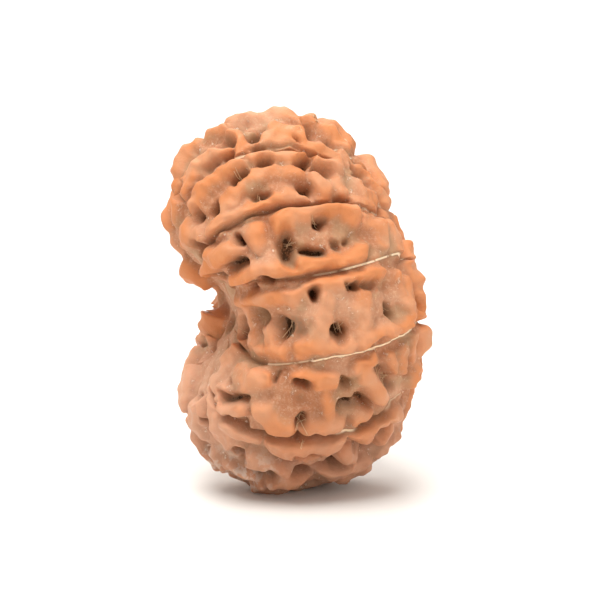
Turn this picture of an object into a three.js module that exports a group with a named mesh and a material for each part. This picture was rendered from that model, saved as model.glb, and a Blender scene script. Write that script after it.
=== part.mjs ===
// Fourteen mukhi rudraksha bead: one grown stone with a stringing hole from pole to pole.
// Units are millimetres and +Z is up. The bead stands on its lower lobe and leans a little,
// and the stringing axis runs roughly along X.
//
// The surface is a function of two numbers. The first, u, counts the mukhi round the axis
// and is a whole number on every seam. The second, v, runs from -1 at the left pole, through
// 0 at the widest girth, to +1 at the right pole.
import * as THREE from 'three';

// Overall form
const MUKHI = 14;
const HALF_HEIGHT = 13.85;
const HALF_DEPTH = 9.2;
const LEFT_WIDTH = 8.5;
const RIGHT_WIDTH = 8.9;
const GIRTH_POWER = 0.875;
const PROFILE_POWER = 0.85;
const END_POWER = 0.83;
const TAPER = -0.04;
const SHEAR = -0.37;
const LEAN = 5.0 * Math.PI / 180;
const POLE_DROP = 0.8;
const HOLE_RADIUS = 0.8;

// The hollow back of the kidney, on the left, and the dimple round the right pole
const NOTCH_DEPTH = 4.55;
const NOTCH_HALF = 3.95;
const NOTCH_Z = -0.1;
const DIMPLE_DEPTH = 1.3;
const DIMPLE_RADIUS = 2.6;

// Relief
const FLOOR_LEVEL = -0.50;
const BULGE = 0.22;
const RIDGE_SCALE = 1.05;
const FLANK = 0.58;
const SEAM_DEPTH = 0.24;
const SEAM_HALF = 0.17;
const BLEND = 4;
const WANDER = 0.17;
const SMALL_WANDER = 0.08;
const LUMPS = 0.12;
const OVERHANG = 0.30;
const RIM_FADE = 0.08;
const FULL_WIDTH = 2.6;
const RELIEF_WIDTH = 1.3;
const CORD_RISE = 0.30;
const CORD_SPREAD = 0.30;

// The small flat spot that the bead stands on
const REST_X = 0.8;
const REST_Y = 0.1;
const REST_INNER = 1.8;
const REST_OUTER = 5.0;
const REST_RELIEF = 0.35;
const REST_SHARE = 0.75;
const REST_Z = -13.66;

// Grid
const NEAR_MUKHI = 6;
const NEAR_COLUMNS = 10;
const FAR_COLUMNS = 7;
const ROWS = 46;
const HOLE_ROWS = 3;
const GATHER = 0.06;
const STEP = 0.01;

// Angle of each seam round the axis, in degrees, at three stations along it
const STATIONS = [-0.6, 0, 0.5];
const SEAMS = [
  [92, 81, 69], [76.5, 70, 60], [54, 50, 51], [30, 22, 32], [-19.5, -15.5, -14],
  [-53, -51, -50], [-72, -67, -62], [-92, -89, -86], [-120, -117, -115], [-148, -145, -144],
  [-173, -172, -172], [-198, -198, -199], [-222, -224, -227], [-246, -251, -258],
];

// Each ridge: height, half width, then its points as (mukhi, way along).
const RIDGES = [
  // crown, seen edge on
  [0.80, 0.50, [[-0.40, -0.55], [-0.45, -0.50], [-0.50, -0.40], [-0.35, -0.33]]],
  [1.10, 0.50, [[-0.45, -0.46], [-0.40, -0.40]]],
  [0.60, 0.45, [[-0.25, -0.26], [-0.10, -0.18]]],
  [0.50, 0.45, [[-0.35, -0.13], [-0.28, -0.02]]],
  [0.60, 0.45, [[-0.35, 0.04], [-0.15, 0.13], [-0.35, 0.20]]],
  [0.65, 0.50, [[-0.50, 0.30], [-0.35, 0.40]]],
  [0.50, 0.42, [[-0.42, -0.16], [-0.40, 0.02], [-0.32, 0.10]]],
  [0.70, 0.40, [[-0.20, 0.24], [-0.10, 0.34]]],
  [0.60, 0.40, [[0.05, 0.42], [0.20, 0.50]]],
  [0.85, 0.65, [[-0.60, 0.58], [-0.10, 0.58], [0.20, 0.55]]],
  // face 0
  [0.60, 0.45, [[0.10, -0.70], [0.05, -0.60], [0.15, -0.50]]],
  [0.70, 0.35, [[0.55, -0.56], [0.50, -0.45], [0.50, -0.33], [0.60, -0.27]]],
  [0.60, 0.35, [[0.15, -0.17], [0.50, -0.17], [0.75, -0.18]]],
  [0.80, 0.50, [[0.15, 0.00], [0.30, 0.02], [0.25, 0.09]]],
  [0.60, 0.40, [[0.60, -0.08], [0.55, 0.04], [0.70, 0.14], [0.70, 0.24]]],
  [0.50, 0.40, [[0.35, 0.27], [0.50, 0.34]]],
  // face 1
  [0.80, 0.40, [[1.25, -0.53], [1.15, -0.45], [1.15, -0.33], [1.20, -0.23]]],
  [0.75, 0.40, [[1.08, -0.13], [1.10, 0.00], [1.12, 0.12], [1.15, 0.20]]],
  [0.60, 0.32, [[1.60, -0.36], [1.52, -0.25], [1.42, -0.15], [1.36, -0.06], [1.40, 0.02]]],
  [0.60, 0.35, [[1.50, 0.09], [1.72, 0.11]]],
  [0.55, 0.35, [[1.55, 0.18], [1.72, 0.20]]],
  [0.75, 0.32, [[1.88, -0.47], [1.82, -0.35], [1.86, -0.22], [1.84, -0.10], [1.80, 0.01]]],
  [0.45, 0.50, [[1.35, 0.35], [1.60, 0.40]]],
  [0.60, 0.45, [[1.70, -0.58], [1.55, -0.66]]],
  [0.70, 0.50, [[1.20, -0.72], [1.35, -0.64]]],
  [0.50, 0.40, [[1.20, 0.46], [1.75, 0.55]]],
  [0.50, 0.35, [[1.88, 0.26], [1.90, 0.40]]],
  // face 2
  [0.95, 0.50, [[2.25, -0.10], [2.15, -0.04], [2.12, 0.08], [2.12, 0.16], [2.22, 0.22]]],
  [0.70, 0.40, [[2.35, -0.24], [2.20, -0.24]]],
  [0.80, 0.42, [[2.35, -0.70], [2.25, -0.58], [2.40, -0.47], [2.38, -0.39]]],
  [1.00, 0.60, [[2.30, 0.72], [2.60, 0.70]]],
  [0.70, 0.45, [[2.30, 0.52], [2.70, 0.54]]],
  [0.55, 0.40, [[2.25, 0.32], [2.30, 0.42]]],
  [0.50, 0.35, [[2.40, 0.40], [2.65, 0.40]]],
  [0.80, 0.34, [[2.88, -0.52], [2.80, -0.38], [2.76, -0.22], [2.80, -0.08], [2.80, 0.06], [2.80, 0.24]]],
  // face 3
  [0.75, 0.40, [[3.20, -0.74], [3.22, -0.55], [3.22, -0.35], [3.22, -0.18]]],
  [0.75, 0.40, [[3.18, -0.08], [3.14, 0.08], [3.12, 0.22], [3.15, 0.32]]],
  [0.60, 0.45, [[3.60, -0.54], [3.78, -0.48]]],
  [0.75, 0.35, [[3.85, -0.58], [3.84, -0.45], [3.86, -0.36]]],
  [0.65, 0.35, [[3.85, -0.22], [3.82, -0.10], [3.86, 0.06]]],
  [0.80, 0.38, [[3.86, 0.14], [3.84, 0.26], [3.84, 0.38], [3.80, 0.50]]],
  [0.55, 0.45, [[3.35, -0.02], [3.60, -0.08], [3.80, -0.12]]],
  [0.50, 0.45, [[3.35, 0.16], [3.60, 0.14], [3.80, 0.14]]],
  [0.60, 0.38, [[3.30, 0.49], [3.60, 0.52], [3.80, 0.53]]],
  [0.90, 0.50, [[3.15, 0.66], [3.28, 0.72]]],
  [1.00, 0.50, [[3.55, 0.72], [3.80, 0.70]]],
  [0.60, 0.38, [[3.40, 0.58], [3.80, 0.60]]],
  [0.55, 0.45, [[3.35, -0.86], [3.70, -0.86], [4.05, -0.84]]],
  // face 4
  [0.80, 0.36, [[4.22, -0.48], [4.24, -0.38]]],
  [0.55, 0.45, [[4.25, -0.62], [4.35, -0.52]]],
  [0.85, 0.42, [[4.20, -0.14], [4.28, -0.06], [4.32, 0.00]]],
  [0.60, 0.40, [[4.50, 0.00], [4.75, 0.01]]],
  [0.70, 0.36, [[4.20, 0.12], [4.18, 0.19]]],
  [0.75, 0.40, [[4.35, 0.16], [4.52, 0.20], [4.68, 0.28]]],
  [0.55, 0.32, [[4.20, 0.33], [4.45, 0.34]]],
  [0.55, 0.32, [[4.20, 0.44], [4.50, 0.44]]],
  [1.05, 0.70, [[4.28, 0.70], [4.50, 0.68]]],
  [0.55, 0.35, [[4.20, 0.56], [4.50, 0.57]]],
  [0.60, 0.34, [[3.36, -0.74], [3.60, -0.71], [3.80, -0.68]]],
  [0.55, 0.50, [[4.30, -0.84], [4.70, -0.80], [5.00, -0.76]]],
  [0.80, 0.45, [[4.75, 0.62], [4.90, 0.55]]],
  [0.75, 0.45, [[4.72, -0.64], [4.85, -0.56], [4.75, -0.46]]],
  [0.85, 0.48, [[4.65, -0.30], [4.80, -0.24], [4.82, -0.16]]],
  [0.85, 0.42, [[4.86, -0.06], [4.84, 0.03]]],
  [0.65, 0.32, [[4.88, 0.13], [4.88, 0.19]]],
  // face 5
  [0.75, 0.36, [[5.25, -0.50], [5.22, -0.40], [5.22, -0.34]]],
  [1.15, 0.50, [[5.22, -0.22], [5.34, -0.13], [5.34, -0.03], [5.24, 0.04]]],
  [0.95, 0.42, [[5.16, 0.12], [5.32, 0.18]]],
  [0.80, 0.40, [[5.28, 0.24], [5.30, 0.36]]],
  [0.85, 0.40, [[5.68, -0.34], [5.80, -0.26]]],
  [0.95, 0.42, [[5.76, -0.19], [5.98, -0.16]]],
  [0.90, 0.45, [[5.66, 0.08], [5.94, 0.10]]],
  [0.80, 0.42, [[5.85, 0.27], [5.75, 0.33]]],
  [0.60, 0.45, [[5.60, -0.55], [5.70, -0.42]]],
  [0.85, 0.42, [[5.30, 0.36], [5.45, 0.40]]],
  [0.50, 0.45, [[5.15, -0.68], [5.45, -0.60], [5.75, -0.54]]],
  [0.60, 0.50, [[5.60, -0.72], [5.90, -0.68]]],
  // face 6
  [0.75, 0.30, [[6.20, -0.34], [6.22, -0.30]]],
  [0.80, 0.30, [[6.14, -0.15]]],
  [0.80, 0.32, [[6.12, 0.02], [6.16, 0.10]]],
  [0.70, 0.30, [[6.50, -0.24]]],
  [0.70, 0.32, [[6.36, 0.30]]],
  [0.90, 0.45, [[6.26, -0.18], [6.24, -0.06]]],
  [0.60, 0.40, [[6.30, 0.34], [6.40, 0.42]]],
  [0.70, 0.40, [[6.70, -0.26], [6.72, -0.14]]],
  [0.70, 0.40, [[6.62, 0.10], [6.60, 0.22]]],
  [0.70, 0.45, [[6.35, -0.42], [6.30, -0.30]]],
  [0.70, 0.45, [[6.30, 0.06], [6.30, 0.20]]],
  [0.70, 0.50, [[6.35, -0.76], [6.60, -0.68]]],
  [0.60, 0.40, [[6.55, -0.54], [6.70, -0.46]]],
  [0.70, 0.50, [[6.90, -0.70], [7.10, -0.64]]],
  [0.80, 0.60, [[7.70, -0.82], [7.40, -0.75]]],
  // two blunt horns on the rim of the notch
  [1.30, 0.60, [[12.42, -0.84], [12.28, -0.79]]],
  [1.75, 0.75, [[9.50, -0.87], [9.70, -0.85]]],
];

// Each hollow: depth, radius, then its points as (mukhi, way along).
const HOLLOWS = [
  [0.90, 0.50, [[0.30, -0.27], [0.38, -0.21]]],
  [0.60, 0.35, [[0.80, -0.27], [0.80, -0.24]]],
  [1.00, 0.42, [[0.06, -0.03], [0.20, -0.06], [0.50, -0.10]]],
  [0.60, 0.40, [[-0.12, -0.16], [-0.14, -0.10]]],
  [0.50, 0.30, [[0.80, -0.41], [0.80, -0.33]]],
  [0.60, 0.30, [[0.93, -0.12], [0.95, -0.08]]],
  [0.60, 0.28, [[0.60, 0.05]]],
  [0.90, 0.45, [[-0.14, 0.145], [0.12, 0.16]]],
  [0.90, 0.40, [[0.02, 0.25], [0.30, 0.26]]],
  [0.60, 0.36, [[0.55, 0.33], [0.50, 0.42]]],
  [0.60, 0.40, [[-0.25, 0.46], [-0.20, 0.50]]],
  [0.70, 0.42, [[0.82, 0.36], [0.85, 0.42]]],
  [1.20, 0.44, [[0.30, -0.60], [0.32, -0.57]]],
  [1.10, 0.44, [[1.36, -0.26], [1.34, -0.22]]],
  [0.90, 0.42, [[1.24, -0.10], [1.22, -0.06]]],
  [1.00, 0.40, [[1.26, 0.04], [1.16, 0.075]]],
  [0.60, 0.45, [[1.32, 0.10], [1.38, 0.16]]],
  [0.90, 0.42, [[1.68, 0.01], [1.68, 0.045]]],
  [0.80, 0.36, [[1.72, -0.17], [1.74, -0.11]]],
  [1.10, 0.40, [[1.56, -0.42], [1.62, -0.425]]],
  [1.05, 0.42, [[1.40, -0.54]]],
  [0.70, 0.35, [[1.30, 0.49], [1.60, 0.50]]],
  [0.70, 0.32, [[1.92, 0.17], [1.92, 0.23]]],
  [0.90, 0.50, [[1.80, -0.64], [1.95, -0.68]]],
  [1.10, 0.42, [[2.27, 0.06]]],
  [0.80, 0.36, [[2.22, 0.27], [2.12, 0.285]]],
  [0.95, 0.40, [[2.22, -0.36], [2.32, -0.355]]],
  [0.95, 0.56, [[2.44, -0.10], [2.56, -0.09], [2.68, -0.10]]],
  [1.00, 0.36, [[2.62, -0.04], [2.66, 0.03]]],
  [0.70, 0.40, [[2.60, 0.11]]],
  [0.60, 0.40, [[2.56, 0.18]]],
  [0.95, 0.42, [[2.66, -0.48], [2.66, -0.44], [2.64, -0.39]]],
  [1.15, 0.46, [[2.60, -0.70], [2.58, -0.67]]],
  [0.80, 0.32, [[2.93, -0.31], [2.94, -0.28]]],
  [0.70, 0.40, [[3.08, -0.46]]],
  [1.15, 0.42, [[3.25, -0.07]]],
  [0.95, 0.36, [[3.20, 0.10], [3.20, 0.14]]],
  [0.55, 0.40, [[3.25, 0.19], [3.25, 0.26]]],
  [1.15, 0.50, [[3.42, -0.59], [3.46, -0.56]]],
  [1.20, 0.55, [[3.55, -0.42], [3.60, -0.41]]],
  [0.60, 0.70, [[3.50, -0.40], [3.55, -0.32], [3.65, -0.28]]],
  [1.30, 0.48, [[3.56, -0.84], [3.74, -0.85]]],
  [1.20, 0.52, [[3.67, -0.005], [3.73, 0.015]]],
  [1.30, 0.50, [[3.58, 0.36], [3.66, 0.38]]],
  [0.90, 0.38, [[3.52, 0.64], [3.70, 0.68]]],
  [0.60, 0.40, [[2.50, 0.62], [2.80, 0.62]]],
  [0.55, 0.28, [[4.10, -0.33], [4.25, -0.32]]],
  [0.80, 0.36, [[4.26, -0.15], [4.34, -0.09]]],
  [0.45, 0.60, [[4.50, -0.12]]],
  [0.95, 0.42, [[4.32, 0.045], [4.38, 0.07]]],
  [1.20, 0.48, [[4.64, 0.06], [4.66, 0.10]]],
  [0.90, 0.38, [[4.70, 0.13], [4.74, 0.20]]],
  [0.70, 0.42, [[4.35, 0.26], [4.50, 0.30], [4.72, 0.36]]],
  [0.70, 0.34, [[4.55, 0.50], [4.68, 0.51]]],
  [0.60, 0.34, [[4.40, 0.62], [4.60, 0.63]]],
  [0.90, 0.42, [[4.78, -0.85], [5.00, -0.82]]],
  [0.90, 0.40, [[4.76, -0.63], [4.62, -0.54], [4.52, -0.45]]],
  [0.50, 0.28, [[4.50, -0.64]]],
  [1.15, 0.46, [[4.78, -0.09]]],
  [0.60, 0.34, [[4.93, -0.50], [4.95, -0.40]]],
  [1.25, 0.46, [[5.72, -0.46], [5.74, -0.39]]],
  [0.60, 0.40, [[5.60, -0.20], [5.64, -0.08]]],
  [1.25, 0.44, [[6.12, -0.26], [6.14, -0.21]]],
  [1.15, 0.42, [[6.10, -0.09], [6.12, -0.04]]],
  [1.20, 0.42, [[5.98, 0.04], [6.02, 0.08]]],
  [0.75, 0.36, [[6.72, 0.17]]],
  [0.70, 0.32, [[5.60, 0.64]]],
  [1.05, 0.42, [[5.62, 0.16], [5.74, 0.19]]],
  [0.80, 0.40, [[5.98, 0.20], [6.05, 0.26]]],
  [0.80, 0.42, [[5.60, 0.45], [5.75, 0.48]]],
  [0.80, 0.40, [[5.55, 0.26], [5.60, 0.30]]],
  [0.60, 0.38, [[4.35, -0.94], [4.80, -0.90], [5.10, -0.84]]],
  [0.50, 0.35, [[5.30, -0.78], [5.70, -0.68], [6.05, -0.60]]],
  [0.80, 0.34, [[5.03, -0.11]]],
  [0.45, 0.24, [[5.42, -0.12], [5.45, -0.03]]],
  [0.75, 0.34, [[5.50, 0.22], [5.46, 0.20]]],
  [0.60, 0.40, [[6.25, -0.80]]],
  [0.60, 0.40, [[6.70, -0.61], [6.80, -0.56]]],
  [0.60, 0.40, [[7.30, -0.70]]],
  [0.70, 0.40, [[6.60, -0.10], [6.65, 0.00]]],
  [0.90, 0.40, [[8.90, -0.93], [8.60, -0.90]]],
  [0.60, 0.40, [[6.60, -0.36], [6.70, -0.30]]],
];

// Each cord of tissue in a seam: seam, from and to along it, strength.
const CORDS = [
  [0, 0.20, 0.60, 0.5],
  [1, -0.26, -0.13, 0.9],
  [1, 0.16, 0.55, 0.7],
  [2, 0.24, 0.60, 0.6],
  [3, -0.04, 0.10, 0.4],
  [3, 0.08, 0.80, 1.0],
  [4, -0.50, -0.10, 0.5],
  [4, -0.14, 0.80, 1.0],
  [5, 0.00, 0.14, 0.9],
  [5, 0.30, 0.60, 0.4],
  [7, -0.30, 0.30, 0.4],
  [9, -0.40, 0.20, 0.6],
  [10, 0.00, 0.60, 0.8],
  [12, -0.50, 0.40, 0.7],
];

// A small number generator, so the far side grows the same way every time.
function makeChance(seed) {
  let state = seed;
  return () => {
    state = (state * 1664525 + 1013904223) % 4294967296;
    return state / 4294967296;
  };
}

// The sides away from the viewer: broken rims, cross ribs and hollows on the far mukhi, and a
// few round the right pole.
function growUnseenSides() {
  const chance = makeChance(14);
  const ridges = [];
  const hollows = [];
  for (let k = 7; k < MUKHI - 1; k += 1) {
    for (const edge of [0.20, 0.80]) {
      let v = -0.62;
      while (v < 0.68) {
        const length = 0.10 + 0.28 * chance();
        const points = [0, 0.5, 1].map((t) => [k + edge + 0.14 * (chance() - 0.5), v + length * t]);
        ridges.push([0.50 + 0.5 * chance(), 0.28 + 0.20 * chance(), points]);
        v += length + 0.06 + 0.07 * chance();
      }
    }
    let v = -0.66;
    while (v < 0.70) {
      const slant = 0.12 * (chance() - 0.5);
      const points = [[k + 0.25, v + slant], [k + 0.5, v], [k + 0.75, v - slant]];
      ridges.push([0.4 + 0.5 * chance(), 0.28 + 0.16 * chance(), points]);
      const bay = 0.12 + 0.18 * chance();
      const depth = 0.4 + 0.9 * chance();
      const radius = 0.26 + 0.28 * chance();
      const first = [k + 0.35 + 0.3 * chance(), v + 0.5 * bay];
      const across = k + 0.30 + 0.4 * chance();
      hollows.push([depth, radius, [first, [across, v + (0.5 + 0.4 * (chance() - 0.5)) * bay]]]);
      v += bay;
    }
  }
  for (let k = 0; k < 7; k += 1) {
    const v = 0.70 + 0.05 * chance();
    ridges.push([0.5 + 0.4 * chance(), 0.30 + 0.15 * chance(), [[k + 0.3, v], [k + 0.7, v + 0.05]]]);
    hollows.push([0.4 + 0.4 * chance(), 0.30 + 0.10 * chance(), [[k + 0.5, v + 0.08]]]);
  }
  return [ridges, hollows];
}

const clamp = (x, low, high) => Math.min(high, Math.max(low, x));
const smooth = (x) => x * x * (3 - 2 * x);
const gauss = (x) => Math.exp(-x * x);
const minus = (a, b) => [a[0] - b[0], a[1] - b[1], a[2] - b[2]];
const dot = (a, b) => a[0] * b[0] + a[1] * b[1] + a[2] * b[2];
const size = (a) => Math.hypot(a[0], a[1], a[2]);
const cross = (a, b) => [
  a[1] * b[2] - a[2] * b[1],
  a[2] * b[0] - a[0] * b[2],
  a[0] * b[1] - a[1] * b[0],
];

// Angle of seam k at v: the parabola through its three stations.
function seamAngle(k, v) {
  const turn = k === MUKHI ? 360 : 0;
  const row = SEAMS[k % MUKHI];
  const [a, b, c] = STATIONS;
  const t = clamp(v, -0.75, 0.55);
  const left = (t - b) * (t - c) / ((a - b) * (a - c));
  const middle = (t - a) * (t - c) / ((b - a) * (b - c));
  const right = (t - a) * (t - b) / ((c - a) * (c - b));
  return (row[0] - turn) * left + (row[1] - turn) * middle + (row[2] - turn) * right;
}

// The smooth kidney without relief.
function basePoint(uRaw, v) {
  const u = ((uRaw % MUKHI) + MUKHI) % MUKHI;
  const k = Math.floor(u);
  const s = u - k;
  const angle = (seamAngle(k, v) * (1 - s) + seamAngle(k + 1, v) * s) * Math.PI / 180;
  const turn = (v + 1) / 2 * Math.PI;
  const sine = Math.sin(turn);
  const cosine = Math.cos(turn);
  const girth = (Math.abs(Math.cos(angle) / HALF_DEPTH) ** (2 * GIRTH_POWER)
    + Math.abs(Math.sin(angle) / HALF_HEIGHT) ** (2 * GIRTH_POWER)) ** (-0.5 / GIRTH_POWER);
  const swell = Math.abs(sine) ** PROFILE_POWER;
  const radius = HOLE_RADIUS + (girth - HOLE_RADIUS) * swell;
  const y = -radius * Math.cos(angle);
  const z = radius * Math.sin(angle) - POLE_DROP * (1 - swell);
  const along = Math.sign(cosine) * Math.abs(cosine) ** END_POWER;
  const leftness = clamp((1 + along) / 2, 0, 1);
  let x = -(cosine > 0 ? LEFT_WIDTH : RIGHT_WIDTH) * along;
  x = x * (1 + TAPER * z / HALF_HEIGHT) + SHEAR * z / HALF_HEIGHT;
  x += NOTCH_DEPTH * gauss((z - NOTCH_Z) / NOTCH_HALF) * leftness ** 2;
  x -= DIMPLE_DEPTH * gauss(radius / DIMPLE_RADIUS) * (1 - leftness) ** 2;
  const c = Math.cos(LEAN);
  const l = Math.sin(LEAN);
  return [x * c - z * l, y, x * l + z * c];
}

// A gentle irregular field: waves in evenly spread directions, added up.
function waves(p, count, length, seed) {
  let total = 0;
  for (let i = 0; i < count; i += 1) {
    const around = i * 2.399963 + seed;
    const z = 1 - 2 * (i + 0.5) / count;
    const flat = Math.sqrt(1 - z * z);
    const rate = (1 + 0.35 * Math.sin(3.1 * i + seed)) / length;
    const way = p[0] * flat * Math.cos(around) + p[1] * flat * Math.sin(around) + p[2] * z;
    total += Math.sin(way * rate * 2 * Math.PI + 1.7 * i + seed * 2.3);
  }
  return total / Math.sqrt(count);
}

// Distance from p to a line of points.
function lineDistance(p, line) {
  if (line.length === 1) return size(minus(p, line[0]));
  let best = Infinity;
  for (let i = 0; i + 1 < line.length; i += 1) {
    const way = minus(line[i + 1], line[i]);
    const from = minus(p, line[i]);
    const t = clamp(dot(from, way) / (dot(way, way) + 1e-9), 0, 1);
    best = Math.min(best, Math.hypot(from[0] - t * way[0], from[1] - t * way[1], from[2] - t * way[2]));
  }
  return best;
}

const [moreRidges, moreHollows] = growUnseenSides();
const placed = ([amount, width, points]) => [amount, width, points.map(([u, v]) => basePoint(u, v))];
const ridgeLines = RIDGES.concat(moreRidges).map(placed);
const hollowLines = HOLLOWS.concat(moreHollows).map(placed);

// How much of the cord of tissue fills the nearest seam.
function cordShare(u, v) {
  const nearest = Math.round(u) % MUKHI;
  let share = 0;
  for (const [seam, start, end, strength] of CORDS) {
    if (seam !== nearest) continue;
    const inside = smooth(clamp((v - start) / 0.04, 0, 1)) * smooth(clamp((end - v) / 0.04, 0, 1));
    share = Math.max(share, strength * inside);
  }
  return share;
}

// Height of the relief above the smooth kidney at a place on it, and how far it leans.
function relief(u, v, place, width) {
  const p = [0, 1, 2].map((axis) => place[axis] + WANDER * waves(place, 7, 3.1, axis + 1)
    + SMALL_WANDER * waves(place, 11, 1.3, axis + 4));
  const lumps = LUMPS * (waves(place, 13, 1.9, 7) + 0.6 * waves(place, 17, 0.9, 8));
  let ridges = 0;
  for (const [height, half, line] of ridgeLines) {
    const t = clamp((lineDistance(p, line) - half * 0.5) / (FLANK + half * 0.5), 0, 1);
    ridges += (RIDGE_SCALE * height * (1 - t * t) ** 1.6) ** BLEND;
  }
  let hollows = 0;
  for (const [depth, reach, line] of hollowLines) {
    const t = clamp(lineDistance(p, line) / (reach * 1.40), 0, 1);
    hollows += (depth * (1 - t * t) ** 1.5) ** BLEND;
  }
  ridges **= 1 / BLEND;
  hollows **= 1 / BLEND;
  const s = u - Math.floor(u);
  const apart = Math.min(s, 1 - s) * width;
  const lobed = clamp(width / FULL_WIDTH, 0, 1) ** 2;
  const seam = gauss(apart / SEAM_HALF) * lobed;
  const cut = smooth(clamp(hollows / 0.7, 0, 1));
  const raised = ridges * (1 - cut) * (1 - 0.8 * seam);
  const cord = cordShare(u, v);
  const relieved = FLOOR_LEVEL + raised - hollows + lumps * (1 - 0.5 * seam);
  let height = relieved * clamp(width / RELIEF_WIDTH, 0, 1);
  height += BULGE * Math.sin(Math.PI * s) ** 0.5 * lobed;
  height -= SEAM_DEPTH * seam * (1 - 0.6 * cut) * (1 - cord);
  height += CORD_RISE * cord * gauss(apart / CORD_SPREAD) * lobed * (1 - cut);
  const away = Math.hypot(place[0] - REST_X, place[1] - REST_Y);
  const clear = smooth(clamp((away - REST_INNER) / (REST_OUTER - REST_INNER), 0, 1));
  const near = place[2] < 0 ? REST_SHARE * (1 - clear) : 0;
  const fade = clamp((1 - Math.abs(v)) / RIM_FADE, 0, 1) ** 0.7;
  const turn = Math.sin(2 * Math.PI * s) / width;
  const lean = -OVERHANG * Math.min(raised, 0.9) * (1 - near) * fade * lobed * turn;
  return [(height * (1 - near) + REST_RELIEF * near) * fade, lean];
}

// The finished surface. The relief shrinks where the mukhi narrow towards the poles, and the
// ridges lean out over the hollows between them.
function beadPoint(u, v) {
  const place = basePoint(u, v);
  const alongU = minus(basePoint(u + STEP, v), basePoint(u - STEP, v)).map((x) => x / (2 * STEP));
  const inner = clamp(v, -0.985, 0.985);
  const alongV = minus(basePoint(u, inner + STEP), basePoint(u, inner - STEP));
  const normal = cross(alongU, alongV);
  const [height, lean] = relief(u, v, place, size(alongU));
  const rise = height / size(normal);
  const p = basePoint(u + lean, v).map((x, axis) => x + normal[axis] * rise);
  return [p[0], p[1], Math.max(p[2], REST_Z)];
}

// Columns round the axis, closer together on the near side and at the seams.
const columns = [];
for (let k = 0; k < MUKHI; k += 1) {
  const count = k < NEAR_MUKHI ? NEAR_COLUMNS : FAR_COLUMNS;
  for (let i = 0; i < count; i += 1) {
    columns.push(k + i / count - GATHER * Math.sin(2 * Math.PI * i / count));
  }
}

// One closed grid: over the outside from pole to pole, then back through the stringing hole.
const points = [];
for (const u of columns) {
  for (let j = 0; j <= ROWS; j += 1) points.push(beadPoint(u, -1 + 2 * j / ROWS));
  const left = beadPoint(u, -1);
  const right = beadPoint(u, 1);
  for (let j = 1; j < HOLE_ROWS; j += 1) {
    const t = j / HOLE_ROWS;
    points.push(right.map((x, axis) => x * (1 - t) + left[axis] * t));
  }
}
const ring = ROWS + HOLE_ROWS;
const faces = [];
for (let i = 0; i < columns.length; i += 1) {
  const next = (i + 1) % columns.length;
  for (let j = 0; j < ring; j += 1) {
    const up = (j + 1) % ring;
    const a = i * ring + j;
    const b = next * ring + j;
    const c = next * ring + up;
    const d = i * ring + up;
    faces.push(a, b, c, a, c, d);
  }
}

const geometry = new THREE.BufferGeometry();
geometry.setAttribute('position', new THREE.Float32BufferAttribute(points.flat(), 3));
geometry.setIndex(faces);
geometry.computeBoundingBox();
const { min, max } = geometry.boundingBox;
geometry.translate(-(min.x + max.x) / 2, -(min.y + max.y) / 2, -min.z);
geometry.computeVertexNormals();

const stone = new THREE.MeshStandardMaterial({ color: 0xc98a66, roughness: 0.6, metalness: 0 });
const bead = new THREE.Mesh(geometry, stone);
bead.name = 'bead';

const rudraksha = new THREE.Group();
rudraksha.name = 'rudraksha';
rudraksha.add(bead);

export default rudraksha;
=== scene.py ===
"""A fourteen mukhi rudraksha bead, standing on its lower lobe on a pale surface.

The bead is one surface of two numbers. The first, u, counts the mukhi round the stringing
axis and is a whole number on every seam. The second, v, runs from -1 at the left pole,
through 0 at the widest girth, to +1 at the right pole. Lengths are in millimetres until a
mesh is made.
"""
import math

import bpy
import numpy as np
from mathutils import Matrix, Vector


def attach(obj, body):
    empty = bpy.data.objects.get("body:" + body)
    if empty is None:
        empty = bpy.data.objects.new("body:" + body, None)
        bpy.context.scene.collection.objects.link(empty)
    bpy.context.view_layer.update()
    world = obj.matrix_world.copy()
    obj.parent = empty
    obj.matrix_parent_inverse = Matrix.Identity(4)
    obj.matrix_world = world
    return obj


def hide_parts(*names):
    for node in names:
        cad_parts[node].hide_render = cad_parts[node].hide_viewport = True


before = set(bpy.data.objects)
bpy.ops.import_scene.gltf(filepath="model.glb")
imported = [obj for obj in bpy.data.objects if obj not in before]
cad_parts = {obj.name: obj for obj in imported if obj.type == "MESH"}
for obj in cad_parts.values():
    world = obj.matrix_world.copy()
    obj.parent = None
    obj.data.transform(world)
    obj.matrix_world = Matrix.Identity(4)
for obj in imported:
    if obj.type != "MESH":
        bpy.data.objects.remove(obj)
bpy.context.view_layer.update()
MM = 0.001

# Overall form
MUKHI = 14
HALF_HEIGHT = 13.85
HALF_DEPTH = 9.2
LEFT_WIDTH = 8.5
RIGHT_WIDTH = 8.9
GIRTH_POWER = 0.875
PROFILE_POWER = 0.85
END_POWER = 0.83
TAPER = -0.04
SHEAR = -0.37
LEAN = math.radians(5.0)
POLE_DROP = 0.8
HOLE_RADIUS = 0.8

# The hollow back of the kidney, on the left, and the dimple round the right pole
NOTCH_DEPTH = 4.55
NOTCH_HALF = 3.95
NOTCH_Z = -0.1
DIMPLE_DEPTH = 1.3
DIMPLE_RADIUS = 2.6

# Relief
FLOOR_LEVEL = -0.50
BULGE = 0.22
RIDGE_SCALE = 1.05
FLANK = 0.58
SEAM_DEPTH = 0.24
SEAM_HALF = 0.17
BLEND = 4
WANDER = 0.17
SMALL_WANDER = 0.08
LUMPS = 0.12
OVERHANG = 0.30
RIM_FADE = 0.08
FULL_WIDTH = 2.6
RELIEF_WIDTH = 1.3
CORD_RISE = 0.30
CORD_SPREAD = 0.30
MOST_LEAN = 0.9
POLE_GUARD = 0.985
SEAM_ENDS = (-0.75, 0.55)

# The side that the photograph doesn't show, from this mukhi on
FIRST_UNSEEN = 7
UNSEEN_SEED = 14

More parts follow.
